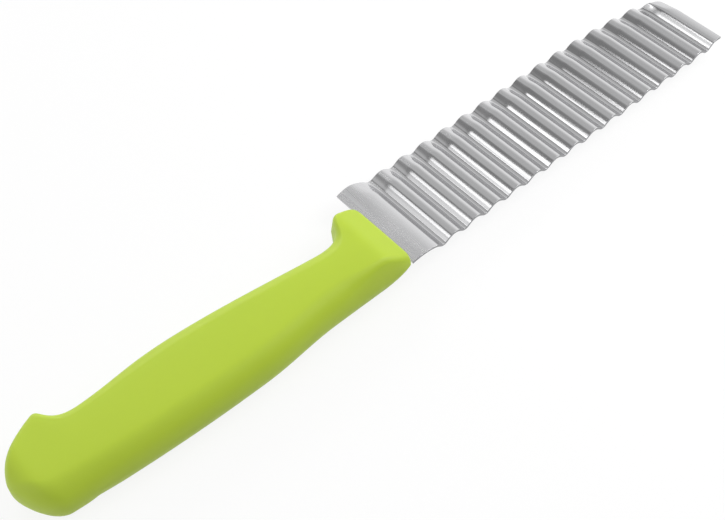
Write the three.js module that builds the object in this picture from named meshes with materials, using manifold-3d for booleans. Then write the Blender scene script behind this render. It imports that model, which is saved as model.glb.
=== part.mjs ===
// Crinkle cutter: a wavy steel blade whose tang is moulded into a one-piece plastic handle.
// Millimetres. The knife lies on its side: X runs from the handle to the tip of the blade, Y from the
// spine to the cutting edge and Z up. While the pieces are drawn, x = 0 is the handle's front face,
// y = 0 is the blade's spine and z = 0 is the middle of the flat tang. The finished group is then
// moved so that the origin lies under the middle of the knife, on the surface that it rests on.

import * as THREE from 'three';
import { mergeVertices } from 'three/addons/utils/BufferGeometryUtils.js';
import Module from 'manifold-3d';

const wasm = await Module();
wasm.setup();

// Clearance between the steel and the plastic round it
const FIT = 0.3;

// Blade sheet. The root is a shallow arch that climbs from the handle and rolls over into the first wave.
const SHEET = 0.8;
const BLADE_WIDTH = 34.6;
const ROOT_LENGTH = 8.9;
const ROOT_ANGLE = THREE.MathUtils.degToRad(14);
const ROLL_ANGLE = THREE.MathUtils.degToRad(17.5);

// Waves, with the bend radii in the middle of the sheet. Each flank is steeper at its foot than at its top.
const WAVE_COUNT = 15;
const WAVE_PITCH = 9.34;
const CREST_RADIUS = 3.5;
const TROUGH_RADIUS = 1.9;
const FOOT_ANGLE = THREE.MathUtils.degToRad(40);
const TOP_ANGLE = THREE.MathUtils.degToRad(27);

// Tip: the last flank is steeper and shorter, and a narrow rim that hardly falls follows its tighter crest.
// That crest turns back towards the handle where it nears the cutting edge.
const TIP_FLANK_RUN = 4.2;
const TIP_CREST_RADIUS = 2;
const TIP_FOOT_ANGLE = THREE.MathUtils.degToRad(46);
const TIP_TOP_ANGLE = THREE.MathUtils.degToRad(39);
const TIP_RIM = 2.9;
const TIP_RIM_FALL = THREE.MathUtils.degToRad(8);
const TIP_TURN = 1.2;
const TIP_TURN_SPAN = 7.5;

// Cutting edge: thinned from above over the bevel, which begins on the root, bellied at the heel,
// swept in towards the tip and cut off across its corner
const BEVEL_WIDTH = 7.5;
const BEVEL_START = 5;
const BEVEL_FULL = 11;
const EDGE_THICKNESS = 0.3;
const HEEL_SWELL = 1.15;
const HEEL_PLACE = 5.5;
const HEEL_SPAN = 26;
const TIP_SWEEP = 4.5;
const TIP_SWEEP_LENGTH = 56;
const TIP_CUT = 2.9;
const TIP_CUT_LENGTH = 8.5;
const TIP_CUT_BEND = 1.6;
const TIP_CORNER = 1.5;

// Tang, with round holes that the handle's plastic fills, and how far it laps into the root
const TANG_LENGTH = 108;
const TANG_WIDTH = 13;
const TANG_INSET = 3;
const HOLE_RADIUS = 2.6;
const HOLE_FROM_FACE = 30;
const HOLE_SPACING = 50;
const TANG_LAP = 0.5;

// Handle along its length, measured back from the front face
const FACET_LENGTH = 8.9;
const GUARD_PLACE = 6.8;
const HOLLOW_PLACE = 11.5;
const GUARD_END = 18;
const WAIST_PLACE = 20;
const BACK_DIP_PLACE = 29;
const BACK_SWELL_PLACE = 57.5;
const SWELL_PLACE = 79.5;
const NECK_PLACE = 104;
const HOOK_PLACE = 114.5;
const BUTT_CORNER_PLACE = 121.5;
const HANDLE_LENGTH = 131.15;

// Handle heights, measured from the blade's spine towards the cutting edge
const NOSE_BACK = 0.15;
const NOSE_BELLY = 26;
const GUARD_HEIGHT = 27.4;
const WAIST_HEIGHT = 19.55;
const SWELL_HEIGHT = 25.5;
const NECK_HEIGHT = 23.7;
const HOOK_HEIGHT = 30;
const HOLLOW_HEIGHT = -0.5;
const BACK_DIP_HEIGHT = -0.66;
const BACK_SWELL_HEIGHT = -2.4;
const BUTT_CORNER_HEIGHT = 1;
const BUTT_HEIGHT = 15.2;

// Directions of the handle's outline where it doesn't run level. The spine side flares out behind the
// front face.
const NOSE_FLARE = THREE.MathUtils.degToRad(16);
const GUARD_RISE = THREE.MathUtils.degToRad(50);
const HOOK_RISE = THREE.MathUtils.degToRad(57);
const HOOK_FALL = THREE.MathUtils.degToRad(20);
const BUTT_CORNER_RISE = THREE.MathUtils.degToRad(5.5);

// How far the outline keeps to its direction after and before a turning point, as a share of the stretch
const EVEN_REACH = 0.36;
const GUARD_REACH = 0.46;
const WAIST_REACH = 0.77;
const BELLY_REACH = 0.1;
const NECK_REACH = 0.54;
const HOOK_REACH = 0.34;
const BUTT_REACH = 0.275;

// Handle thickness, and how far its two sides lean in from the parting line to the edges
const HANDLE_THICKNESS = 16;
const NOSE_THICKNESS = 6.4;
const BACK_DRAFT = 2.8;
const BELLY_DRAFT = 1.2;

// Edge roundings of the handle: crisp at the front, well rounded behind the facet and fullest at the butt
const FACET_RADIUS = 1.8;
const FRONT_RADIUS = 0.9;
const BACK_RADIUS = 3;
const GUARD_RADIUS = 1.6;
const BELLY_RADIUS = 5;
const HOOK_RADIUS = 3.4;
const HOOK_TIP_RADIUS = 1.6;
const BUTT_RADIUS = 7;

// Largest share of the handle's half width or half thickness that an edge radius may take
const ROUND_SHARE = 0.95;

// Steps of the faceted curves
const ROOT_STEPS = 6;
const BEND_STEPS = 3;
const CORNER_STEPS = 5;
const HOLE_STEPS = 10;
const FACET_STEPS = 7;
const GUARD_STEPS = 11;
const BELLY_STEPS = 18;
const HOOK_STEPS = 7;
const HOOK_TIP_STEPS = 5;
const BUTT_STEPS = 12;

const halfPitch = WAVE_PITCH / 2;
const lastTroughX = ROOT_LENGTH + WAVE_COUNT * WAVE_PITCH - halfPitch;
const lastCrestX = lastTroughX + TIP_FLANK_RUN;
const tipX = lastCrestX + TIP_RIM;
const halfThickness = HANDLE_THICKNESS / 2;
const halfNose = NOSE_THICKNESS / 2;

// Joins rings of equally many points into a closed skin, with a fan over the first and the last ring.
function loft(rings) {
  const size = rings[0].length;
  const positions = rings.flat().flatMap((point) => [point.x, point.y, point.z]);
  const index = [];
  for (let ring = 0; ring + 1 < rings.length; ring += 1) {
    for (let i = 0; i < size; i += 1) {
      const a = ring * size + i;
      const b = ring * size + ((i + 1) % size);
      index.push(a, b, a + size, b, b + size, a + size);
    }
  }
  const last = (rings.length - 1) * size;
  for (let i = 1; i + 1 < size; i += 1) {
    index.push(0, i + 1, i);
    index.push(last, last + i, last + i + 1);
  }
  const geometry = new THREE.BufferGeometry();
  geometry.setAttribute('position', new THREE.Float32BufferAttribute(positions, 3));
  geometry.setIndex(index);
  return geometry;
}

// A closed three.js geometry as a solid that can be joined and cut.
function solidOf(geometry) {
  geometry.deleteAttribute('normal');
  geometry.deleteAttribute('uv');
  const merged = mergeVertices(geometry, 1e-4);
  return new wasm.Manifold(new wasm.Mesh({
    numProp: 3,
    vertProperties: new Float32Array(merged.attributes.position.array),
    triVerts: new Uint32Array(merged.index.array),
  }));
}

function meshOf(name, solid, look) {
  const { vertProperties, triVerts } = solid.getMesh();
  const geometry = new THREE.BufferGeometry();
  geometry.setAttribute('position', new THREE.Float32BufferAttribute(vertProperties, 3));
  geometry.setIndex(Array.from(triVerts));
  const mesh = new THREE.Mesh(geometry, new THREE.MeshStandardMaterial({ ...look, flatShading: true }));
  mesh.name = name;
  return mesh;
}

// Evenly spaced values after the first one, up to and including the second.
function spread(from, to, count) {
  return Array.from({ length: count }, (_, i) => from + ((to - from) * (i + 1)) / count);
}

// The middle line of the sheet from the root to the tip: x, z and slope angle at each station.
function waveLine() {
  const rootX = FIT + (SHEET / 2) * Math.sin(ROOT_ANGLE);
  const line = [{ x: rootX, z: 0, angle: ROOT_ANGLE }];
  const bend = (radius, toAngle, steps) => {
    const { x, z, angle } = line.at(-1);
    const turn = Math.sign(toAngle - angle);
    for (const a of spread(angle, toAngle, steps)) {
      const runX = radius * turn * (Math.sin(a) - Math.sin(angle));
      const runZ = radius * turn * (Math.cos(angle) - Math.cos(a));
      line.push({ x: x + runX, z: z + runZ, angle: a });
    }
  };
  const flankRadius = (run, crestRadius, foot, top) => {
    const flankRun = run - crestRadius * Math.sin(top) - TROUGH_RADIUS * Math.sin(foot);
    return flankRun / (Math.sin(foot) - Math.sin(top));
  };
  const fall = () => {
    bend(CREST_RADIUS, -TOP_ANGLE, BEND_STEPS);
    bend(flankRadius(halfPitch, CREST_RADIUS, FOOT_ANGLE, TOP_ANGLE), -FOOT_ANGLE, 1);
    bend(TROUGH_RADIUS, 0, BEND_STEPS);
  };
  const rise = (run, crestRadius, foot, top) => {
    bend(TROUGH_RADIUS, foot, BEND_STEPS);
    bend(flankRadius(run, crestRadius, foot, top), top, 1);
    bend(crestRadius, 0, BEND_STEPS);
  };
  const archRun = ROOT_LENGTH + CREST_RADIUS * Math.sin(ROLL_ANGLE) - rootX;
  bend(archRun / (Math.sin(ROOT_ANGLE) + Math.sin(ROLL_ANGLE)), -ROLL_ANGLE, ROOT_STEPS);
  for (let wave = 1; wave < WAVE_COUNT; wave += 1) {
    fall();
    rise(halfPitch, CREST_RADIUS, FOOT_ANGLE, TOP_ANGLE);
  }
  fall();
  rise(TIP_FLANK_RUN, TIP_CREST_RADIUS, TIP_FOOT_ANGLE, TIP_TOP_ANGLE);
  bend(TIP_RIM / Math.sin(TIP_RIM_FALL), -TIP_RIM_FALL, 1);
  return line;
}

// Distance of the cutting edge from the spine at x.
function edgeAt(x) {
  const fromHeel = Math.min(1 / 2, Math.abs(x - HEEL_PLACE) / HEEL_SPAN);
  const heel = HEEL_SWELL * Math.cos(Math.PI * fromHeel) ** 2;
  const sweep = Math.max(0, x - (tipX - TIP_SWEEP_LENGTH)) / TIP_SWEEP_LENGTH;
  const cut = Math.max(0, 1 - (tipX - x) / TIP_CUT_LENGTH) ** TIP_CUT_BEND;
  const corner = Math.max(0, x - (tipX - TIP_CORNER));
  const round = TIP_CORNER - Math.sqrt(Math.max(0, TIP_CORNER ** 2 - corner ** 2));
  return BLADE_WIDTH + heel - TIP_SWEEP * sweep ** 2 - TIP_CUT * cut - round;
}

// The corrugated sheet, from just in front of the handle to the tip.
function corrugatedSheet() {
  const { smoothstep } = THREE.MathUtils;
  const rings = waveLine().map(({ x, z, angle }) => {
    const edge = edgeAt(x);
    const bevel = (SHEET - EDGE_THICKNESS) * smoothstep(x, BEVEL_START, BEVEL_FULL);
    const onCrest = smoothstep(x, lastTroughX, lastCrestX) - smoothstep(x, lastCrestX, tipX);
    const at = (y, height) => {
      const nearEdge = Math.max(0, 1 - (edge - y) / TIP_TURN_SPAN);
      return new THREE.Vector3(
        x - height * Math.sin(angle) - TIP_TURN * onCrest * nearEdge ** 2,
        y,
        z + height * Math.cos(angle),
      );
    };
    const half = SHEET / 2;
    const shoulder = edge - BEVEL_WIDTH;
    const middle = (edge + shoulder) / 2;
    return [
      at(0, -half),
      at(shoulder, -half),
      at(middle, -half),
      at(edge, -half),
      at(edge, half - bevel),
      at(middle, half - bevel / 2),
      at(shoulder, half),
      at(0, half),
    ];
  });
  return solidOf(loft(rings));
}

// The tang, or the hollow round it when it grows by the clearance. The holes shrink as it grows.
function tang(front, grow) {
  const low = TANG_INSET - grow;
  const high = TANG_INSET + TANG_WIDTH + grow;
  const middle = (low + high) / 2;
  const endRadius = (high - low) / 2;
  const endX = endRadius - TANG_LENGTH - grow;
  const outline = new THREE.Shape();
  outline.moveTo(front, low);
  outline.lineTo(front, high);
  outline.lineTo(endX, high);
  outline.absarc(endX, middle, endRadius, Math.PI / 2, Math.PI * 1.5);
  outline.closePath();
  for (const x of [-HOLE_FROM_FACE, -HOLE_FROM_FACE - HOLE_SPACING]) {
    const hole = new THREE.Path();
    hole.absarc(x, middle, HOLE_RADIUS - grow, 0, Math.PI * 2);
    outline.holes.push(hole);
  }
  const depth = SHEET + 2 * grow;
  const options = { depth, bevelEnabled: false, curveSegments: HOLE_STEPS };
  const geometry = new THREE.ExtrudeGeometry(outline, options);
  geometry.translate(0, 0, -depth / 2);
  return solidOf(geometry);
}

// One stretch of a side outline, running backwards. Each end has the angle at which the outline climbs
// there and the share of the stretch over which it keeps to that angle.
function bow(from, to, leaving, arriving) {
  const start = new THREE.Vector2(...from);
  const end = new THREE.Vector2(...to);
  const length = start.distanceTo(end);
  const lean = ([climb, reach]) => (
    new THREE.Vector2(-Math.cos(climb), Math.sin(climb)).multiplyScalar(length * reach)
  );
  return new THREE.CubicBezierCurve(start, lean(leaving).add(start), end.clone().sub(lean(arriving)), end);
}

const noseBelly = [0, NOSE_BELLY];
const guard = [-GUARD_PLACE, GUARD_HEIGHT];
const waist = [-WAIST_PLACE, WAIST_HEIGHT];
const swell = [-SWELL_PLACE, SWELL_HEIGHT];
const neck = [-NECK_PLACE, NECK_HEIGHT];
const hookCut = HOOK_TIP_RADIUS * Math.tan((HOOK_RISE + HOOK_FALL) / 2);
const hookFront = [
  -HOOK_PLACE + hookCut * Math.cos(HOOK_RISE),
  HOOK_HEIGHT - hookCut * Math.sin(HOOK_RISE),
];
const hookBack = [
  -HOOK_PLACE - hookCut * Math.cos(HOOK_FALL),
  HOOK_HEIGHT - hookCut * Math.sin(HOOK_FALL),
];
const butt = [-HANDLE_LENGTH, BUTT_HEIGHT];
const noseBack = [0, NOSE_BACK];
const hollow = [-HOLLOW_PLACE, HOLLOW_HEIGHT];
const backDip = [-BACK_DIP_PLACE, BACK_DIP_HEIGHT];
const backSwell = [-BACK_SWELL_PLACE, BACK_SWELL_HEIGHT];
const buttCorner = [-BUTT_CORNER_PLACE, BUTT_CORNER_HEIGHT];
const level = [0, EVEN_REACH];

// The two side outlines at the parting line, from the front face to the butt
const bellyOutline = [
  bow(noseBelly, guard, [GUARD_RISE, EVEN_REACH], level),
  bow(guard, waist, [0, GUARD_REACH], [0, WAIST_REACH]),
  bow(waist, swell, [0, BELLY_REACH], level),
  bow(swell, neck, level, level),
  bow(neck, hookFront, [0, NECK_REACH], [HOOK_RISE, HOOK_REACH]),
  bow(hookFront, hookBack, [HOOK_RISE, EVEN_REACH], [-HOOK_FALL, EVEN_REACH]),
  bow(hookBack, butt, [-HOOK_FALL, HOOK_REACH], [-Math.PI / 2, HOOK_REACH]),
];
const backOutline = [
  bow(noseBack, hollow, [-NOSE_FLARE, EVEN_REACH], level),
  bow(hollow, backDip, level, level),
  bow(backDip, backSwell, level, level),
  bow(backSwell, buttCorner, level, [BUTT_CORNER_RISE, EVEN_REACH]),
  bow(buttCorner, butt, [BUTT_CORNER_RISE, BUTT_REACH], [Math.PI / 2, BUTT_REACH]),
];

// Height of an outline at x, found by halving, because every stretch runs steadily backwards.
function heightAt(outline, x) {
  const stretch = outline.find((curve) => x >= curve.v3.x) ?? outline.at(-1);
  let low = 0;
  let high = 1;
  while (high - low > 1e-7) {
    const t = (low + high) / 2;
    if (stretch.getPoint(t).x > x) low = t;
    else high = t;
  }
  return stretch.getPoint(high).y;
}

// Half the thickness of the handle at x: the sloped facet, the flat middle and the rounded butt.
function halfThicknessAt(x) {
  const slope = (halfThickness - halfNose) / FACET_LENGTH;
  const facet = halfNose - slope * x;
  const soft = FACET_RADIUS * slope;
  const over = facet - halfThickness;
  if (over > -soft && over < soft) return facet - (over + soft) ** 2 / (4 * soft);
  const inset = Math.max(0, BUTT_RADIUS - (x + HANDLE_LENGTH));
  const round = BUTT_RADIUS - Math.sqrt(Math.max(0, BUTT_RADIUS ** 2 - inset ** 2));
  return Math.min(facet, halfThickness) - round;
}

// A value that eases along the handle through marks, each a place and the value there.
function eased(x, marks) {
  const next = marks.findIndex(([place]) => -x < place);
  if (next < 1) return marks.at(next)[1];
  const [[fromPlace, from], [toPlace, to]] = marks.slice(next - 1);
  return THREE.MathUtils.lerp(from, to, THREE.MathUtils.smoothstep(-x, fromPlace, toPlace));
}

// One ring of the handle: up the back, over the top, down the belly and back underneath.
function handleRing(x) {
  const back = heightAt(backOutline, x);
  const belly = Math.max(heightAt(bellyOutline, x), back + FIT);
  const half = halfThicknessAt(x);
  const room = Math.min(half, (belly - back) / 2);
  const backRadius = eased(x, [
    [FACET_LENGTH, FRONT_RADIUS],
    [BACK_DIP_PLACE, BACK_RADIUS],
    [NECK_PLACE, BACK_RADIUS],
    [BUTT_CORNER_PLACE, BUTT_RADIUS],
  ]);
  const bellyRadius = eased(x, [
    [GUARD_PLACE, GUARD_RADIUS],
    [GUARD_END, BELLY_RADIUS],
    [SWELL_PLACE, BELLY_RADIUS],
    [NECK_PLACE, HOOK_RADIUS],
  ]);
  const corner = (side, y, draft, radius) => {
    const round = Math.min(radius, ROUND_SHARE * room);
    const slope = Math.min(draft / halfThickness, (room - round) / half);
    const lean = Math.atan(slope);
    const centreZ = half - round;
    const inset = (centreZ + round * Math.sin(lean)) * slope + round * Math.cos(lean);
    return [lean, ...spread(lean, Math.PI / 2, CORNER_STEPS)].map((angle) => new THREE.Vector3(
      x,
      y + side * (inset - round * Math.cos(angle)),
      centreZ + round * Math.sin(angle),
    ));
  };
  const top = [
    ...corner(1, back, BACK_DRAFT, backRadius),
    ...corner(-1, belly, BELLY_DRAFT, bellyRadius).reverse(),
  ];
  const underside = top.map((point) => new THREE.Vector3(point.x, point.y, -point.z)).reverse();
  return [new THREE.Vector3(x, back, 0), ...top, new THREE.Vector3(x, belly, 0), ...underside];
}

// Stations along the handle, closer together where its outline turns.
function handleStations() {
  const buttRun = HANDLE_LENGTH + hookBack[0];
  return [
    0,
    ...spread(0, -FACET_LENGTH, FACET_STEPS),
    ...spread(-FACET_LENGTH, -WAIST_PLACE, GUARD_STEPS),
    ...spread(-WAIST_PLACE, -NECK_PLACE, BELLY_STEPS),
    ...spread(-NECK_PLACE, hookFront[0], HOOK_STEPS),
    ...spread(hookFront[0], hookBack[0], HOOK_TIP_STEPS),
    ...spread(0, Math.PI / 2, BUTT_STEPS).map((turn) => hookBack[0] - buttRun * Math.sin(turn)),
  ];
}

const blade = corrugatedSheet().add(tang(FIT + TANG_LAP, 0));
const handle = solidOf(loft(handleStations().map(handleRing))).subtract(tang(FIT, FIT));

const knife = new THREE.Group();
knife.add(meshOf('blade', blade, { color: 0xc9cacb, metalness: 1, roughness: 0.28 }));
knife.add(meshOf('handle', handle, { color: 0xb8d04c, metalness: 0, roughness: 0.45 }));

const box = new THREE.Box3().setFromObject(knife);
const middle = box.getCenter(new THREE.Vector3());
knife.position.set(-middle.x, -middle.y, -box.min.z);

export default knife;
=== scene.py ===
import math

import bpy
from mathutils import Matrix, Quaternion, Vector


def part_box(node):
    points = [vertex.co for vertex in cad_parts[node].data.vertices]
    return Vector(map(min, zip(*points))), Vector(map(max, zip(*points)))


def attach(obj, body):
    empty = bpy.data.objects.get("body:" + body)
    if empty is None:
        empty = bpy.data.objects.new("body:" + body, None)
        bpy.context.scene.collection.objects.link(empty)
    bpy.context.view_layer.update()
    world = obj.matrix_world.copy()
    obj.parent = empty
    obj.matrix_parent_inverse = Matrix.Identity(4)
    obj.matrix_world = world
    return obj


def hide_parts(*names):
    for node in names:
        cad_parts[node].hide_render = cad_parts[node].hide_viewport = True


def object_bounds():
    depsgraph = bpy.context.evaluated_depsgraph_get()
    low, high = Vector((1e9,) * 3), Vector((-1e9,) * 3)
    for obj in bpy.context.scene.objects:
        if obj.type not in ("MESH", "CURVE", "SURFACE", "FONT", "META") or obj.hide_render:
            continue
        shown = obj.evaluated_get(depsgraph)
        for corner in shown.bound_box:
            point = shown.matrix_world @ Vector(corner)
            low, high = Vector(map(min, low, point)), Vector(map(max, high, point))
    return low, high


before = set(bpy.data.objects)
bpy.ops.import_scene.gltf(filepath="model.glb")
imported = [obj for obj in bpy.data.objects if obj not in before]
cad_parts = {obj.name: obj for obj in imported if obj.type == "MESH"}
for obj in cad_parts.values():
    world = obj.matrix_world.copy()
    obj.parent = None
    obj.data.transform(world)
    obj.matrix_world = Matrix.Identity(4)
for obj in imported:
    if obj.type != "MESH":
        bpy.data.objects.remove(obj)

CAD_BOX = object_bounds()
MM = 0.001

# Drawing frame of the knife, in millimetres: x = 0 is the handle's front face with the blade ahead
# of it, y = 0 is the blade's spine with the cutting edge at larger y, and z = 0 is the middle of the
# flat tang.
handle_low, handle_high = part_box("handle")
blade_low, blade_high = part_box("blade")
ORIGIN = Vector((handle_high.x, blade_low.y, (handle_low.z + handle_high.z) / 2))
WIDEST = (blade_high.y - blade_low.y) / MM

# Blade, as in the solids
SHEET = 0.8
BLADE_WIDTH = 34.6
ROOT_LENGTH = 8.9
ROOT_ANGLE = math.radians(14)
ROLL_ANGLE = math.radians(17.5)
WAVE_COUNT = 15
WAVE_PITCH = 9.34
CREST_RADIUS = 3.5
TROUGH_RADIUS = 1.9
FOOT_ANGLE = math.radians(40)
TOP_ANGLE = math.radians(27)
TIP_FLANK_RUN = 4.2
TIP_CREST_RADIUS = 2
TIP_FOOT_ANGLE = math.radians(46)
TIP_TOP_ANGLE = math.radians(39)
TIP_RIM = 2.9
TIP_RIM_FALL = math.radians(8)
TIP_TURN = 1.2
TIP_TURN_SPAN = 7.5
BEVEL_WIDTH = 7.5
BEVEL_START = 5
BEVEL_FULL = 11
HEEL_SWELL = 1.15
HEEL_PLACE = 5.5
HEEL_SPAN = 26
TIP_SWEEP = 4.5
TIP_SWEEP_LENGTH = 56
TIP_CUT = 2.9
TIP_CUT_LENGTH = 8.5
TIP_CUT_BEND = 1.6
TIP_CORNER = 1.5

# Blade, finer than in the solids
ROOT_START = 0.06
EDGE_THICKNESS = 0.16
SHEARED_RADIUS = 0.14
SHEARED_EASE = 0.04
BEVEL_SOFTNESS = 2.5

# Tang, as in the solids
TANG_LENGTH = 108
TANG_WIDTH = 13
TANG_INSET = 3
HOLE_RADIUS = 2.6
HOLE_PLACES = (30, 80)

# Handle, as in the solids
FACET_LENGTH = 8.9
GUARD_PLACE = 6.8
HOLLOW_PLACE = 11.5
GUARD_END = 18
WAIST_PLACE = 20
BACK_DIP_PLACE = 29
BACK_SWELL_PLACE = 57.5
SWELL_PLACE = 79.5
NECK_PLACE = 104
HOOK_PLACE = 114.5
BUTT_CORNER_PLACE = 121.5
HANDLE_LENGTH = 131.15
NOSE_BACK = 0.15
NOSE_BELLY = 26
GUARD_HEIGHT = 27.4
WAIST_HEIGHT = 19.55
SWELL_HEIGHT = 25.5
NECK_HEIGHT = 23.7
HOOK_HEIGHT = 30
HOLLOW_HEIGHT = -0.5
BACK_DIP_HEIGHT = -0.66
BACK_SWELL_HEIGHT = -2.4
BUTT_CORNER_HEIGHT = 1
BUTT_HEIGHT = 15.2
NOSE_FLARE = math.radians(16)
GUARD_RISE = math.radians(50)
HOOK_RISE = math.radians(57)
HOOK_FALL = math.radians(20)
BUTT_CORNER_RISE = math.radians(5.5)
EVEN_REACH = 0.36
GUARD_REACH = 0.46
WAIST_REACH = 0.77
BELLY_REACH = 0.1
NECK_REACH = 0.54
HOOK_REACH = 0.34
BUTT_REACH = 0.275
HALF_THICKNESS = 8
HALF_NOSE = 3.2
BACK_DRAFT = 2.8
BELLY_DRAFT = 1.2
FACET_RADIUS = 1.8
FRONT_RADIUS = 0.9
BACK_RADIUS = 3
GUARD_RADIUS = 1.6
BELLY_RADIUS = 5
HOOK_RADIUS = 3.4
HOOK_TIP_RADIUS = 1.6
BUTT_RADIUS = 7
ROUND_SHARE = 0.95

# Handle, softer than in the solids: the upper edge along its back, the nose's rim and the flat sides
SHOULDER_FRONT = 2.4
SHOULDER_RADIUS = 6
NOSE_ROUND = 1.1
NOSE_THINNING = 0.5
CROWN = 0.45

# Roundings along the handle: how far from its front each mark lies, and the radius there
BACK_MARKS = (
    (FACET_LENGTH, FRONT_RADIUS),
    (BACK_DIP_PLACE, BACK_RADIUS),
    (NECK_PLACE, BACK_RADIUS),
    (BUTT_CORNER_PLACE, BUTT_RADIUS),
)
SHOULDER_MARKS = (
    (FACET_LENGTH, SHOULDER_FRONT),
    (BACK_DIP_PLACE, SHOULDER_RADIUS),
    (NECK_PLACE, SHOULDER_RADIUS),
    (BUTT_CORNER_PLACE, BUTT_RADIUS),
)
BELLY_MARKS = (
    (GUARD_PLACE, GUARD_RADIUS),
    (GUARD_END, BELLY_RADIUS),
    (SWELL_PLACE, BELLY_RADIUS),
    (NECK_PLACE, HOOK_RADIUS),
)

# Steps of the curves, the least width of a ring, and the angles over which an edge is drawn sharp
ROOT_STEPS = 12
BEND_STEPS = 9
FLANK_STEPS = 5
BODY_ROWS = 12
BEVEL_ROWS = 14
ROUND_STEPS = 4
CORNER_STEPS = 12
CROWN_STEPS = 10
HANDLE_STEP = 0.8
STATION_DIGITS = 4
HALVINGS = 30
LEAST_WIDTH = 0.2
QUARTER_TURN = math.pi / 2
BUTT_ARC = math.pi / 3
SHARP_BLADE = math.radians(40)
SHARP_HANDLE = math.radians(50)

HALF_PITCH = WAVE_PITCH / 2
LAST_TROUGH_X = ROOT_LENGTH + WAVE_COUNT * WAVE_PITCH - HALF_PITCH
LAST_CREST_X = LAST_TROUGH_X + TIP_FLANK_RUN
TIP_X = LAST_CREST_X + TIP_RIM


def at(x, y, z):
    """A point of the drawing frame in metres."""
    return ORIGIN + Vector((x, y, z)) * MM


def spread(start, end, count):
    """Evenly spaced values after the first one, up to and including the second."""
    return [start + (end - start) * (i + 1) / count for i in range(count)]


def smoothstep(value, low, high):
    """From 0 at the low end to 1 at the high end, level at both."""
    t = min(1, max(0, (value - low) / (high - low)))
    return t * t * (3 - 2 * t)


def rounding(depth, radius):
    """How far a rounded end has drawn in at this depth from it."""
    inset = max(0, radius - depth)
    return radius - math.sqrt(max(0, radius**2 - inset**2))


def placed(name, data):
    """A new object for a mesh, curve, lamp or camera, in the scene."""
    made = bpy.data.objects.new(name, data)
    bpy.context.scene.collection.objects.link(made)
    return made


def lofted(name, rings, sharp_angle):
    """A closed mesh through rings of equally many points, smooth except at edges over the angle."""
    size = len(rings[0])
    last = (len(rings) - 1) * size
    faces = [tuple(range(size - 1, -1, -1))]
    for start in range(0, last, size):
        for i in range(size):
            a, b = start + i, start + (i + 1) % size
            faces.append((a, b, b + size, a + size))
    faces.append(tuple(range(last, last + size)))
    mesh = bpy.data.meshes.new(name)
    mesh.from_pydata([at(*p) for ring in rings for p in ring], [], faces)
    mesh.validate()
    mesh.shade_smooth()
    mesh.set_sharp_from_angle(angle=sharp_angle)
    return placed(name, mesh)


# Blade

def wave_line():
    """The middle line of the sheet from the root to the tip: x, z and slope angle at each station."""
    root_x = ROOT_START + SHEET / 2 * math.sin(ROOT_ANGLE)
    line = [(root_x, 0.0, ROOT_ANGLE)]

    def bend(radius, to_angle, steps=BEND_STEPS):
        x, z, angle = line[-1]
        turn = math.copysign(radius, to_angle - angle)
        for a in spread(angle, to_angle, steps):
            run = turn * (math.sin(a) - math.sin(angle))
            line.append((x + run, z + turn * (math.cos(angle) - math.cos(a)), a))

    def flank_radius(run, crest_radius, foot, top):
        flank_run = run - crest_radius * math.sin(top) - TROUGH_RADIUS * math.sin(foot)
        return flank_run / (math.sin(foot) - math.sin(top))

    def fall():
        bend(CREST_RADIUS, -TOP_ANGLE)
        flank = flank_radius(HALF_PITCH, CREST_RADIUS, FOOT_ANGLE, TOP_ANGLE)
        bend(flank, -FOOT_ANGLE, FLANK_STEPS)
        bend(TROUGH_RADIUS, 0)

    def rise(run, crest_radius, foot, top):
        bend(TROUGH_RADIUS, foot)
        bend(flank_radius(run, crest_radius, foot, top), top, FLANK_STEPS)
        bend(crest_radius, 0)

    arch_run = ROOT_LENGTH + CREST_RADIUS * math.sin(ROLL_ANGLE) - root_x
    bend(arch_run / (math.sin(ROOT_ANGLE) + math.sin(ROLL_ANGLE)), -ROLL_ANGLE, ROOT_STEPS)
    for _ in range(WAVE_COUNT - 1):
        fall()
        rise(HALF_PITCH, CREST_RADIUS, FOOT_ANGLE, TOP_ANGLE)
    fall()
    rise(TIP_FLANK_RUN, TIP_CREST_RADIUS, TIP_FOOT_ANGLE, TIP_TOP_ANGLE)
    bend(TIP_RIM / math.sin(TIP_RIM_FALL), -TIP_RIM_FALL)
    return line


def edge_at(x):
    """Distance of the cutting edge from the spine at x."""
    from_heel = min(0.5, abs(x - HEEL_PLACE) / HEEL_SPAN)
    heel = HEEL_SWELL * math.cos(math.pi * from_heel) ** 2
    sweep = max(0, x - (TIP_X - TIP_SWEEP_LENGTH)) / TIP_SWEEP_LENGTH
    cut = max(0, 1 - (TIP_X - x) / TIP_CUT_LENGTH) ** TIP_CUT_BEND
    corner = rounding(TIP_X - x, TIP_CORNER)
    return min(BLADE_WIDTH + heel - TIP_SWEEP * sweep**2 - TIP_CUT * cut - corner, WIDEST)


def bevel_drop(depth):
    """How far the full bevel has thinned the sheet at this depth from its softly rounded shoulder."""
    slope = (SHEET - EDGE_THICKNESS) / (BEVEL_WIDTH - BEVEL_SOFTNESS / 2)
    if depth < BEVEL_SOFTNESS:
        return slope * depth**2 / (2 * BEVEL_SOFTNESS)
    return slope * (depth - BEVEL_SOFTNESS / 2)


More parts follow.
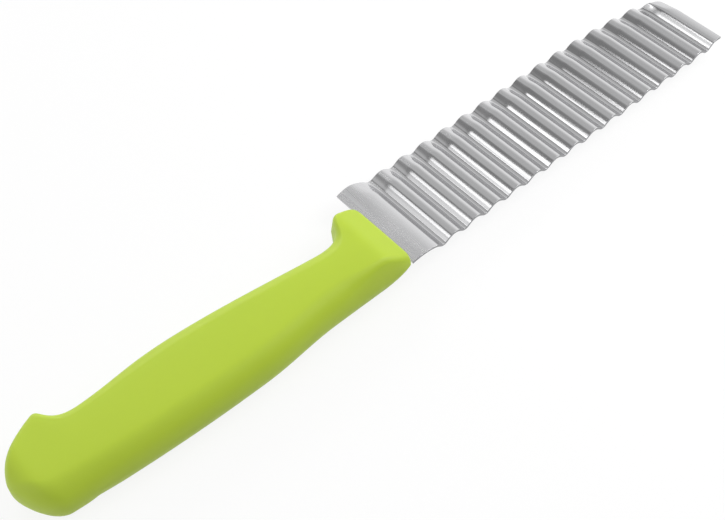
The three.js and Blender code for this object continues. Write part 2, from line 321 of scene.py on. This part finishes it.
def blade_ring(x, z, angle):
    """One section of the sheet, from the spine underneath to the edge and back over the bevel."""
    edge = edge_at(x)
    half = SHEET / 2
    shoulder = edge - BEVEL_WIDTH
    ground = smoothstep(x, BEVEL_START, BEVEL_FULL)
    on_crest = smoothstep(x, LAST_TROUGH_X, LAST_CREST_X) - smoothstep(x, LAST_CREST_X, TIP_X)
    eased_in = SHEARED_RADIUS + SHEARED_EASE
    round_off = [
        (SHEARED_RADIUS * (1 - math.sin(a)), half - SHEARED_RADIUS * (1 - math.cos(a)))
        for a in spread(0, QUARTER_TURN, ROUND_STEPS)
    ]
    section = [(y, -height) for y, height in reversed(round_off)]
    section += [(SHEARED_RADIUS, -half)]
    section += [(y, -half) for y in spread(eased_in, edge, BODY_ROWS)]
    section += [
        (shoulder + depth, half - ground * bevel_drop(depth))
        for depth in [BEVEL_WIDTH, *spread(BEVEL_WIDTH, 0, BEVEL_ROWS)]
    ]
    section += [(y, half) for y in spread(shoulder, eased_in, BODY_ROWS)]
    section += [(SHEARED_RADIUS, half)]
    section += round_off

    def turned_back(y):
        return TIP_TURN * on_crest * max(0, 1 - (edge - y) / TIP_TURN_SPAN) ** 2

    return [
        (x - h * math.sin(angle) - turned_back(y), y, z + h * math.cos(angle)) for y, h in section
    ]


def make_tang():
    """The flat tang with its two holes, inside the handle."""
    half_width = TANG_WIDTH / 2
    middle = TANG_INSET + half_width

    def arc(x, radius, angles):
        return [(x + radius * math.cos(a), middle + radius * math.sin(a)) for a in angles]

    rear_turn = [QUARTER_TURN + a for a in [0, *spread(0, math.pi, CORNER_STEPS)]]
    full_turn = spread(0, 2 * math.pi, 2 * CORNER_STEPS)
    front = [(ROOT_START, TANG_INSET), (ROOT_START, TANG_INSET + TANG_WIDTH)]
    outline = front + arc(half_width - TANG_LENGTH, half_width, rear_turn)
    holes = [arc(-place, HOLE_RADIUS, full_turn) for place in HOLE_PLACES]

    curve = bpy.data.curves.new("tang", "CURVE")
    curve.dimensions = "2D"
    curve.fill_mode = "BOTH"
    curve.extrude = SHEET / 2 * MM
    for loop in [outline, *holes]:
        spline = curve.splines.new("POLY")
        spline.points.add(len(loop) - 1)
        for point, (x, y) in zip(spline.points, loop):
            place = at(x, y, 0)
            point.co = (place.x, place.y, 0, 1)
        spline.use_cyclic_u = True
    drawn = placed("tang_outline", curve)
    drawn.location.z = ORIGIN.z
    bpy.context.view_layer.update()
    evaluated = drawn.evaluated_get(bpy.context.evaluated_depsgraph_get())
    mesh = bpy.data.meshes.new_from_object(evaluated)
    mesh.transform(drawn.matrix_world)
    bpy.data.objects.remove(drawn)
    return placed("tang", mesh)


# Handle

def bow(start, end, leaving, arriving):
    """One stretch of a side outline. Each end has an angle of climb and the share that keeps it."""
    length = math.dist(start, end)

    def lean(climb, reach):
        return -math.cos(climb) * length * reach, math.sin(climb) * length * reach

    out_x, out_y = lean(*leaving)
    in_x, in_y = lean(*arriving)
    return [start, (start[0] + out_x, start[1] + out_y), (end[0] - in_x, end[1] - in_y), end]


def bow_point(curve, t):
    """The point of a stretch at t, from 0 at its start to 1 at its end."""
    weights = ((1 - t) ** 3, 3 * t * (1 - t) ** 2, 3 * t * t * (1 - t), t**3)
    return [sum(w * p[axis] for w, p in zip(weights, curve)) for axis in range(2)]


def height_at(outline, x):
    """Height of an outline at x, found by halving, because every stretch runs steadily backwards."""
    stretch = next((c for c in outline if x >= c[3][0]), outline[-1])
    low, high = 0.0, 1.0
    for _ in range(HALVINGS):
        t = (low + high) / 2
        if bow_point(stretch, t)[0] > x:
            low = t
        else:
            high = t
    return bow_point(stretch, high)[1]


guard = (-GUARD_PLACE, GUARD_HEIGHT)
waist = (-WAIST_PLACE, WAIST_HEIGHT)
swell = (-SWELL_PLACE, SWELL_HEIGHT)
neck = (-NECK_PLACE, NECK_HEIGHT)
hook_cut = HOOK_TIP_RADIUS * math.tan((HOOK_RISE + HOOK_FALL) / 2)
hook_front = (
    -HOOK_PLACE + hook_cut * math.cos(HOOK_RISE),
    HOOK_HEIGHT - hook_cut * math.sin(HOOK_RISE),
)
hook_back = (
    -HOOK_PLACE - hook_cut * math.cos(HOOK_FALL),
    HOOK_HEIGHT - hook_cut * math.sin(HOOK_FALL),
)
butt = (-HANDLE_LENGTH, BUTT_HEIGHT)
hollow = (-HOLLOW_PLACE, HOLLOW_HEIGHT)
back_dip = (-BACK_DIP_PLACE, BACK_DIP_HEIGHT)
back_swell = (-BACK_SWELL_PLACE, BACK_SWELL_HEIGHT)
butt_corner = (-BUTT_CORNER_PLACE, BUTT_CORNER_HEIGHT)
level = (0, EVEN_REACH)

BELLY_OUTLINE = [
    bow((0, NOSE_BELLY), guard, (GUARD_RISE, EVEN_REACH), level),
    bow(guard, waist, (0, GUARD_REACH), (0, WAIST_REACH)),
    bow(waist, swell, (0, BELLY_REACH), level),
    bow(swell, neck, level, level),
    bow(neck, hook_front, (0, NECK_REACH), (HOOK_RISE, HOOK_REACH)),
    bow(hook_front, hook_back, (HOOK_RISE, EVEN_REACH), (-HOOK_FALL, EVEN_REACH)),
    bow(hook_back, butt, (-HOOK_FALL, HOOK_REACH), (-QUARTER_TURN, HOOK_REACH)),
]
BACK_OUTLINE = [
    bow((0, NOSE_BACK), hollow, (-NOSE_FLARE, EVEN_REACH), level),
    bow(hollow, back_dip, level, level),
    bow(back_dip, back_swell, level, level),
    bow(back_swell, butt_corner, level, (BUTT_CORNER_RISE, EVEN_REACH)),
    bow(butt_corner, butt, (BUTT_CORNER_RISE, BUTT_REACH), (QUARTER_TURN, BUTT_REACH)),
]


def half_thickness_at(x):
    """Half the handle's thickness at x: the sloped facet, the flat middle and the rounded butt."""
    slope = (HALF_THICKNESS - HALF_NOSE) / FACET_LENGTH
    facet = HALF_NOSE - slope * x
    soft = FACET_RADIUS * slope
    over = facet - HALF_THICKNESS
    if -soft < over < soft:
        return facet - (over + soft) ** 2 / (4 * soft)
    return min(facet, HALF_THICKNESS) - rounding(x + HANDLE_LENGTH, BUTT_RADIUS)


def eased(x, marks):
    """A value that eases along the handle through marks, each a place and the value there."""
    value = marks[0][1]
    for (from_place, start), (to_place, end) in zip(marks, marks[1:]):
        value += (end - start) * smoothstep(-x, from_place, to_place)
    return value


def handle_ring(x):
    """One ring of the handle: up the back, over the top, down the belly and back underneath."""
    nose = rounding(-x, NOSE_ROUND)
    back = height_at(BACK_OUTLINE, x) + nose
    belly = max(height_at(BELLY_OUTLINE, x) - nose, back + LEAST_WIDTH)
    half = half_thickness_at(x) - nose * NOSE_THINNING
    room = min(half, (belly - back) / 2)
    belly_radius = eased(x, BELLY_MARKS)

    def corner(side, y, draft, radius):
        radius = min(radius, ROUND_SHARE * room)
        slope = min(draft / HALF_THICKNESS, (room - radius) / half)
        lean = math.atan(slope)
        centre_z = half - radius
        inset = (centre_z + radius * math.sin(lean)) * slope + radius * math.cos(lean)
        return [
            (y + side * (inset - radius * math.cos(a)), centre_z + radius * math.sin(a))
            for a in [lean, *spread(lean, QUARTER_TURN, CORNER_STEPS)]
        ]

    def face(radius):
        near = corner(1, back, BACK_DRAFT, radius)
        far = corner(-1, belly, BELLY_DRAFT, belly_radius)[::-1]
        across = [(y, half) for y in spread(near[-1][0], far[0][0], CROWN_STEPS)[:-1]]
        crown = CROWN * room / HALF_THICKNESS
        return [
            (y, z - crown * (2 * (y - back) / (belly - back) - 1) ** 2 * smoothstep(z, 0, half))
            for y, z in near + across + far
        ]

    top = face(eased(x, SHOULDER_MARKS))
    under = [(y, -z) for y, z in reversed(face(eased(x, BACK_MARKS)))]
    return [(x, y, z) for y, z in [(back, 0), *top, (belly, 0), *under]]


def handle_stations():
    """Places of the handle's rings from front to back, closer at the nose, the hook and the butt."""
    count = round(HANDLE_LENGTH / HANDLE_STEP)
    even = [-HANDLE_LENGTH * (i / count) for i in range(count + 1)]
    nose = [-NOSE_ROUND * (1 - math.cos(a)) for a in spread(0, QUARTER_TURN, ROUND_STEPS)]
    hook = spread(hook_front[0], hook_back[0], CORNER_STEPS)
    end = [
        -HANDLE_LENGTH + BUTT_RADIUS * (1 - math.cos(a)) for a in spread(0, BUTT_ARC, CORNER_STEPS)
    ]
    places = set(round(x, STATION_DIGITS) for x in even + nose + hook + end)
    return sorted(places, reverse=True)


blade = lofted("blade_sheet", [blade_ring(*s) for s in wave_line()], SHARP_BLADE)
tang = make_tang()
handle = lofted("handle_body", [handle_ring(x) for x in handle_stations()], SHARP_HANDLE)


# Materials. Noise scales are per metre, and a stretch under 1 draws the noise out along that axis.

EVEN = (1.0, 1.0, 1.0)
FINE_DETAIL = 3.0
COARSE_DETAIL = 2.0
WHITE = (1.0, 1.0, 1.0, 1.0)

STREAK_STRETCH = (1.0, 0.03, 1.0)
STREAK_SCALE = 2600
STREAK_STRENGTH = 0.03
STREAK_DEPTH = 0.02 * MM
BAND_STRETCH = (1.0, 0.04, 1.0)
BAND_SCALE = 700
PATCH_SCALE = 60
SATIN_BEFORE_ROOT_END = 2
SATIN_PAST_ROOT_END = 1
SHEARED_CORE = 0.5
POLISHED_ROUGHNESS = 0.06
BAND_ROUGHNESS = 0.08
PATCH_ROUGHNESS = 0.08
SATIN_ROUGHNESS = 0.13
SHEARED_ROUGHNESS = 0.3
STEEL_ANISOTROPY = 0.35
STEEL_DARK = (0.67, 0.67, 0.68, 1)
STEEL_PALE = (0.73, 0.73, 0.74, 1)
# Darker steel colour given to the strip along the spine's edge
SPINE_EDGE_STEEL = (0.34, 0.34, 0.35, 1)

GRAIN_SCALE = 2400
GRAIN_STRENGTH = 0.1
GRAIN_DEPTH = 0.03 * MM
CLOUD_STRETCH = (0.4, 1.0, 1.0)
CLOUD_SCALE = 45
PLASTIC_ROUGHNESS = 0.40
GRAIN_ROUGHNESS = 0.12
PLASTIC_IOR = 1.5
PLASTIC_SPECULAR = 0.33
SCATTER_WEIGHT = 0.12
SCATTER_RADIUS = (0.004, 0.005, 0.001)
SCATTER_SCALE = 0.5
LIME_DARK = (0.45, 0.60, 0.040, 1)
LIME_PALE = (0.49, 0.64, 0.047, 1)


def node_tree(owner):
    """The emptied node tree of a material or world."""
    owner.use_nodes = True
    tree = owner.node_tree
    tree.nodes.clear()
    return tree


def feed(tree, socket, source):
    """Link an input to another node's output, or give it a value."""
    if isinstance(source, bpy.types.NodeSocket):
        tree.links.new(source, socket)
    else:
        socket.default_value = source


def node(tree, kind, inputs=None, **values):
    """A node with its properties set and its inputs fed."""
    made = tree.nodes.new(kind)
    for name, value in values.items():
        setattr(made, name, value)
    for name, source in (inputs or {}).items():
        feed(tree, made.inputs[name], source)
    return made


def maths(tree, operation, *sources):
    inputs = dict(enumerate(sources))
    return node(tree, "ShaderNodeMath", inputs, operation=operation).outputs[0]


def ramp(tree, source, low, high, start, end):
    """A value that runs smoothly from start to end while the source runs from low to high."""
    return node(
        tree, "ShaderNodeMapRange",
        {"Value": source, "From Min": low, "From Max": high, "To Min": start, "To Max": end},
        interpolation_type="SMOOTHSTEP",
    ).outputs[0]


def noise(tree, coordinates, stretch, scale, detail=FINE_DETAIL):
    scaled = node(tree, "ShaderNodeMapping", {"Vector": coordinates, "Scale": stretch})
    return node(
        tree, "ShaderNodeTexNoise", {"Vector": scaled.outputs[0], "Scale": scale, "Detail": detail}
    ).outputs[0]


def bump(tree, height, strength, depth):
    return node(
        tree, "ShaderNodeBump", {"Strength": strength, "Distance": depth, "Height": height}
    ).outputs[0]


def colour_between(tree, share, first, second):
    """A colour that runs from the first to the second, either of which may come from another node."""
    mix = node(tree, "ShaderNodeMix", data_type="RGBA")
    sockets = [s for s in mix.inputs if s.enabled]
    for socket, source in zip(sockets, (share, first, second)):
        feed(tree, socket, source)
    return next(s for s in mix.outputs if s.enabled)


def show(tree, shader):
    """Make a shader the surface of its material."""
    node(tree, "ShaderNodeOutputMaterial", {"Surface": shader.outputs[0]})


def blade_steel():
    """Polished sheet with fine streaks along the ridges, a satin root, and a darker, rougher strip
    along the spine's edge.
    """
    material = bpy.data.materials.new("blade_steel")
    tree = node_tree(material)
    place = node(tree, "ShaderNodeTexCoord").outputs["Object"]
    streaks = noise(tree, place, STREAK_STRETCH, STREAK_SCALE)
    bands = noise(tree, place, BAND_STRETCH, BAND_SCALE)
    patches = noise(tree, place, EVEN, PATCH_SCALE, COARSE_DETAIL)
    along, across, _ = node(tree, "ShaderNodeSeparateXYZ", {0: place}).outputs
    root_end = at(ROOT_LENGTH, 0, 0).x
    satin_from = root_end - SATIN_BEFORE_ROOT_END * MM
    satin_to = root_end + SATIN_PAST_ROOT_END * MM
    satin = ramp(tree, along, satin_from, satin_to, SATIN_ROUGHNESS, 0.0)
    spine = at(0, 0, 0).y
    # Mask of the strip along the spine's edge: it gets the darker steel colour and more roughness
    sheared_from = spine + SHEARED_CORE * SHEARED_RADIUS * MM
    spine_edge = ramp(tree, across, sheared_from, spine + SHEARED_RADIUS * MM, 1.0, 0.0)
    patchy = maths(tree, "MULTIPLY_ADD", patches, PATCH_ROUGHNESS, POLISHED_ROUGHNESS)
    rolled = maths(tree, "MULTIPLY_ADD", bands, BAND_ROUGHNESS, patchy)
    faces = maths(tree, "ADD", rolled, satin)
    roughness = maths(tree, "MULTIPLY_ADD", spine_edge, SHEARED_ROUGHNESS, faces)
    rolled_tint = colour_between(tree, bands, STEEL_DARK, STEEL_PALE)
    tint = colour_between(tree, spine_edge, rolled_tint, SPINE_EDGE_STEEL)
    show(tree, node(tree, "ShaderNodeBsdfPrincipled", {
        "Base Color": tint,
        "Metallic": 1.0,
        "Roughness": roughness,
        "Anisotropic": STEEL_ANISOTROPY,
        "Normal": bump(tree, streaks, STREAK_STRENGTH, STREAK_DEPTH),
    }))
    return material


def handle_plastic():
    """Satin lime green moulded plastic with a very fine spark-eroded texture."""
    material = bpy.data.materials.new("handle_plastic")
    tree = node_tree(material)
    place = node(tree, "ShaderNodeTexCoord").outputs["Object"]
    grain = noise(tree, place, EVEN, GRAIN_SCALE)
    cloud = noise(tree, place, CLOUD_STRETCH, CLOUD_SCALE, COARSE_DETAIL)
    show(tree, node(tree, "ShaderNodeBsdfPrincipled", {
        "Base Color": colour_between(tree, cloud, LIME_DARK, LIME_PALE),
        "Roughness": maths(tree, "MULTIPLY_ADD", grain, GRAIN_ROUGHNESS, PLASTIC_ROUGHNESS),
        "IOR": PLASTIC_IOR,
        "Specular IOR Level": PLASTIC_SPECULAR,
        "Subsurface Weight": SCATTER_WEIGHT,
        "Subsurface Radius": SCATTER_RADIUS,
        "Subsurface Scale": SCATTER_SCALE,
        "Normal": bump(tree, grain, GRAIN_STRENGTH, GRAIN_DEPTH),
    }))
    return material


steel = blade_steel()
plastic = handle_plastic()
for piece, material, slot in (
    (blade, steel, "blade_steel"),
    (tang, steel, "blade_steel"),
    (handle, plastic, "handle_plastic"),
):
    piece.data.materials.clear()
    piece.data.materials.append(material)
    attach(piece, "root")
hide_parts("blade")
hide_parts("handle")

# Camera, from the perspective of the blade's ridges in the photograph, placed in the drawing frame

CAMERA_PLACE = (-150.49, -145.16, 276.91)
HEADING = math.radians(48.151)
ELEVATION = math.radians(52.839)
FOCAL_PIXELS = 1140
IMAGE_WIDTH = 725
SENSOR_WIDTH = 36
CLIP_START = 0.01

forward = Vector((math.cos(HEADING), math.sin(HEADING), 0))
right = Vector((math.sin(HEADING), -math.cos(HEADING), 0))
up = Vector((0, 0, 1))
looking = forward * math.cos(ELEVATION) - up * math.sin(ELEVATION)
camera_data = bpy.data.cameras.new("camera")
camera_data.sensor_fit = "HORIZONTAL"
camera_data.sensor_width = SENSOR_WIDTH
camera_data.lens = SENSOR_WIDTH * FOCAL_PIXELS / IMAGE_WIDTH
camera_data.clip_start = CLIP_START
camera = placed("camera", camera_data)
turn = Matrix((right, right.cross(looking), -looking)).transposed().to_4x4()
camera.matrix_world = Matrix.Translation(at(*CAMERA_PLACE)) @ turn
bpy.context.scene.camera = camera


# Lamps

LAMP_AIM = 16


def heading(azimuth, elevation):
    """A direction from the camera's heading: azimuth to the right of it and elevation, in degrees."""
    a, e = math.radians(azimuth), math.radians(elevation)
    return (forward * math.cos(a) + right * math.sin(a)) * math.cos(e) + up * math.sin(e)


def softbox(name, faces, azimuth, elevation, distance, width, height, glow, roll=0.0):
    """A rectangular lamp that faces the knife's middle at one x. Its glow is how bright it looks."""
    data = bpy.data.lights.new(name, "AREA")
    data.shape = "RECTANGLE"
    data.size = width
    data.size_y = height
    data.energy = glow * math.pi * width * height
    lamp = placed(name, data)
    direction = heading(azimuth, elevation)
    lamp.location = at(faces, LAMP_AIM, 0) + direction * distance
    lamp.rotation_mode = "QUATERNION"
    facing_knife = (-direction).to_track_quat("-Z", "Y")
    lamp.rotation_quaternion = facing_knife @ Quaternion((0, 0, 1), math.radians(roll))


# The key lights the top, and the fills the handle's far edge and its rear walls
softbox("key", faces=50, azimuth=72, elevation=50, distance=0.42, width=0.26, height=0.26, glow=4.8)
softbox(
    "far_fill", faces=-50, azimuth=-25, elevation=30, distance=0.8, width=0.3, height=0.3, glow=4.5
)
softbox(
    "rear_fill", faces=-60, azimuth=-130, elevation=10, distance=1.0, width=0.5, height=0.5, glow=1.6
)
# The window, its bright top and the card are what the waves mirror as white bands
softbox(
    "left_window", faces=100, azimuth=-122.2, elevation=39.5, distance=2.5,
    width=2.0, height=1.6, glow=0.48, roll=11.8,
)
softbox(
    "window_top", faces=100, azimuth=-105.2, elevation=56.4, distance=2.66,
    width=0.7, height=0.17, glow=2.1, roll=25.5,
)
softbox(
    "left_card", faces=15, azimuth=-89.9, elevation=54, distance=0.33,
    width=0.105, height=0.054, glow=1.1, roll=28,
)


# Room: brightest low down ahead, of one level overhead, dim behind, with a dark opening on the left.
# Its limits are cosines between a direction and straight ahead, straight up or the opening's middle.

REAR_GLOW = 0.3
AHEAD_GLOW = 1.0
OVERHEAD_GLOW = 0.55
OPENING_GLOW = 0.42
REAR_LIMIT = -0.2
AHEAD_LIMIT = 0.5
WALL_LIMIT = 0.30
OVERHEAD_LIMIT = 0.80
OPENING_AZIMUTH = -78
OPENING_ELEVATION = 52
OPENING_EDGE = math.cos(math.radians(18))
OPENING_CORE = math.cos(math.radians(9))


def light_room():
    world = bpy.data.worlds.new("studio")
    bpy.context.scene.world = world
    tree = node_tree(world)
    direction = node(tree, "ShaderNodeTexCoord").outputs["Generated"]

    def facing(vector):
        return node(
            tree, "ShaderNodeVectorMath", {0: direction, 1: tuple(vector)}, operation="DOT_PRODUCT"
        ).outputs["Value"]

    low_light = ramp(tree, facing(forward), REAR_LIMIT, AHEAD_LIMIT, REAR_GLOW, AHEAD_GLOW)
    overhead = ramp(tree, facing(up), WALL_LIMIT, OVERHEAD_LIMIT, 0.0, 1.0)
    to_overhead = maths(tree, "SUBTRACT", OVERHEAD_GLOW, low_light)
    walls = maths(tree, "MULTIPLY_ADD", overhead, to_overhead, low_light)
    on_opening = facing(heading(OPENING_AZIMUTH, OPENING_ELEVATION))
    opening = ramp(tree, on_opening, OPENING_EDGE, OPENING_CORE, 1.0, OPENING_GLOW)
    room = maths(tree, "MULTIPLY", walls, opening)
    background = node(tree, "ShaderNodeBackground", {"Color": WHITE, "Strength": room})
    node(tree, "ShaderNodeOutputWorld", {"Surface": background.outputs[0]})


light_room()


# Floor: a pale grey to the light, and near white where it is seen, straight or mirrored

FLOOR_HALF = 6.0
FLOOR_GAP = 0.02
FLOOR_LIT = (0.72, 0.72, 0.72, 1.0)
FLOOR_SEEN = (0.95, 0.95, 0.95, 1.0)
FLOOR_GLOW_SHARE = 0.86


def floor_white():
    material = bpy.data.materials.new("floor_white")
    tree = node_tree(material)
    rays = node(tree, "ShaderNodeLightPath").outputs
    mirrored = maths(tree, "MAXIMUM", rays["Is Glossy Ray"], rays["Is Transmission Ray"])
    seen = maths(tree, "MAXIMUM", rays["Is Camera Ray"], mirrored)
    shade = colour_between(tree, seen, FLOOR_LIT, FLOOR_SEEN)
    lit = node(tree, "ShaderNodeBsdfDiffuse", {"Color": shade})
    glow = node(tree, "ShaderNodeEmission", {"Color": WHITE})
    share = maths(tree, "MULTIPLY", seen, FLOOR_GLOW_SHARE)
    show(tree, node(tree, "ShaderNodeMixShader", {0: share, 1: lit.outputs[0], 2: glow.outputs[0]}))
    return material


floor_mesh = bpy.data.meshes.new("floor")
signs = ((-1, -1), (1, -1), (1, 1), (-1, 1))
corners = [(FLOOR_HALF * a, FLOOR_HALF * b, 0) for a, b in signs]
floor_mesh.from_pydata(corners, [], [(0, 1, 2, 3)])
floor_mesh.materials.append(floor_white())
floor = placed("floor", floor_mesh)
floor.location.z = CAD_BOX[0].z - FLOOR_GAP * MM

bpy.context.scene.view_settings.view_transform = "Standard"
